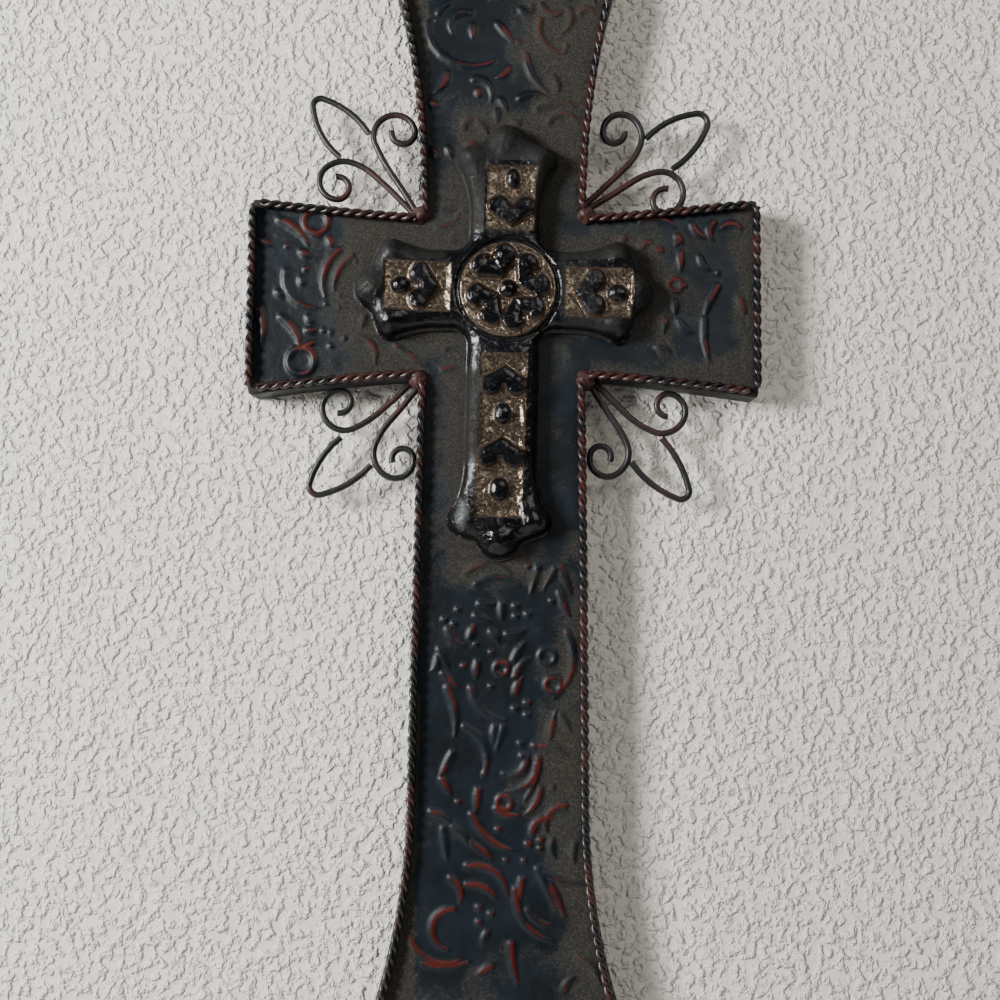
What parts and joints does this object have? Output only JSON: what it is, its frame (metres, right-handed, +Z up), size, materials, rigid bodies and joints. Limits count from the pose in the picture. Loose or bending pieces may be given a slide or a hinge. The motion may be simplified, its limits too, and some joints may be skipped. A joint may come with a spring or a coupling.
{
  "type": "decorative wall cross",
  "caption": "Flared wall cross of embossed dark painted sheet steel with twisted wire edging, wire scrolls in its inner corners and a small glazed ceramic cross at its centre",
  "frame": {"origin": "on the wall side of the hanger strap, 9 mm above the centre of its nail hole and 128 mm above the centre of the crossing", "axes": "+Z up along the upright, the decorated front faces -Y, +X to the right seen from the front, and the wall is the plane y = 0"},
  "size_m": [0.2632, 0.0299, 0.548],
  "materials": {
    "painted_sheet": "satin navy-black paint with red rubbed crests and dust",
    "painted_wire": "satin blue-black paint rubbed to red-brown",
    "weld_metal": "matt red-brown",
    "dark_glaze": null,
    "bare_strap": "plain dull steel"
  },
  "bodies": {
    "root": {"embossed_plate": "painted_sheet", "edging_top_end": "painted_wire", "edging_top_side_a": "painted_wire", "edging_top_side_b": "painted_wire", "edging_left_end": "painted_wire", "edging_left_side_a": "painted_wire", "edging_left_side_b": "painted_wire", "edging_leg_end": "painted_wire", "edging_leg_side_a": "painted_wire", "edging_leg_side_b": "painted_wire", "edging_right_end": "painted_wire", "edging_right_side_a": "painted_wire", "edging_right_side_b": "painted_wire", "upright_scroll_upper_left": "painted_wire", "upright_scroll_upper_right": "painted_wire", "upright_scroll_lower_left": "painted_wire", "upright_scroll_lower_right": "painted_wire", "arm_scroll_upper_left": "painted_wire", "arm_scroll_upper_right": "painted_wire", "arm_scroll_lower_left": "painted_wire", "arm_scroll_lower_right": "painted_wire", "leaf_wire_upper_left": "painted_wire", "leaf_wire_upper_right": "painted_wire", "leaf_wire_lower_left": "painted_wire", "leaf_wire_lower_right": "painted_wire", "corner_weld_upper_left": "weld_metal", "corner_weld_upper_right": "weld_metal", "corner_weld_lower_left": "weld_metal", "corner_weld_lower_right": "weld_metal", "ceramic_cross": "dark_glaze", "hanger_strap": "bare_strap"}
  },
  "joints": []
}
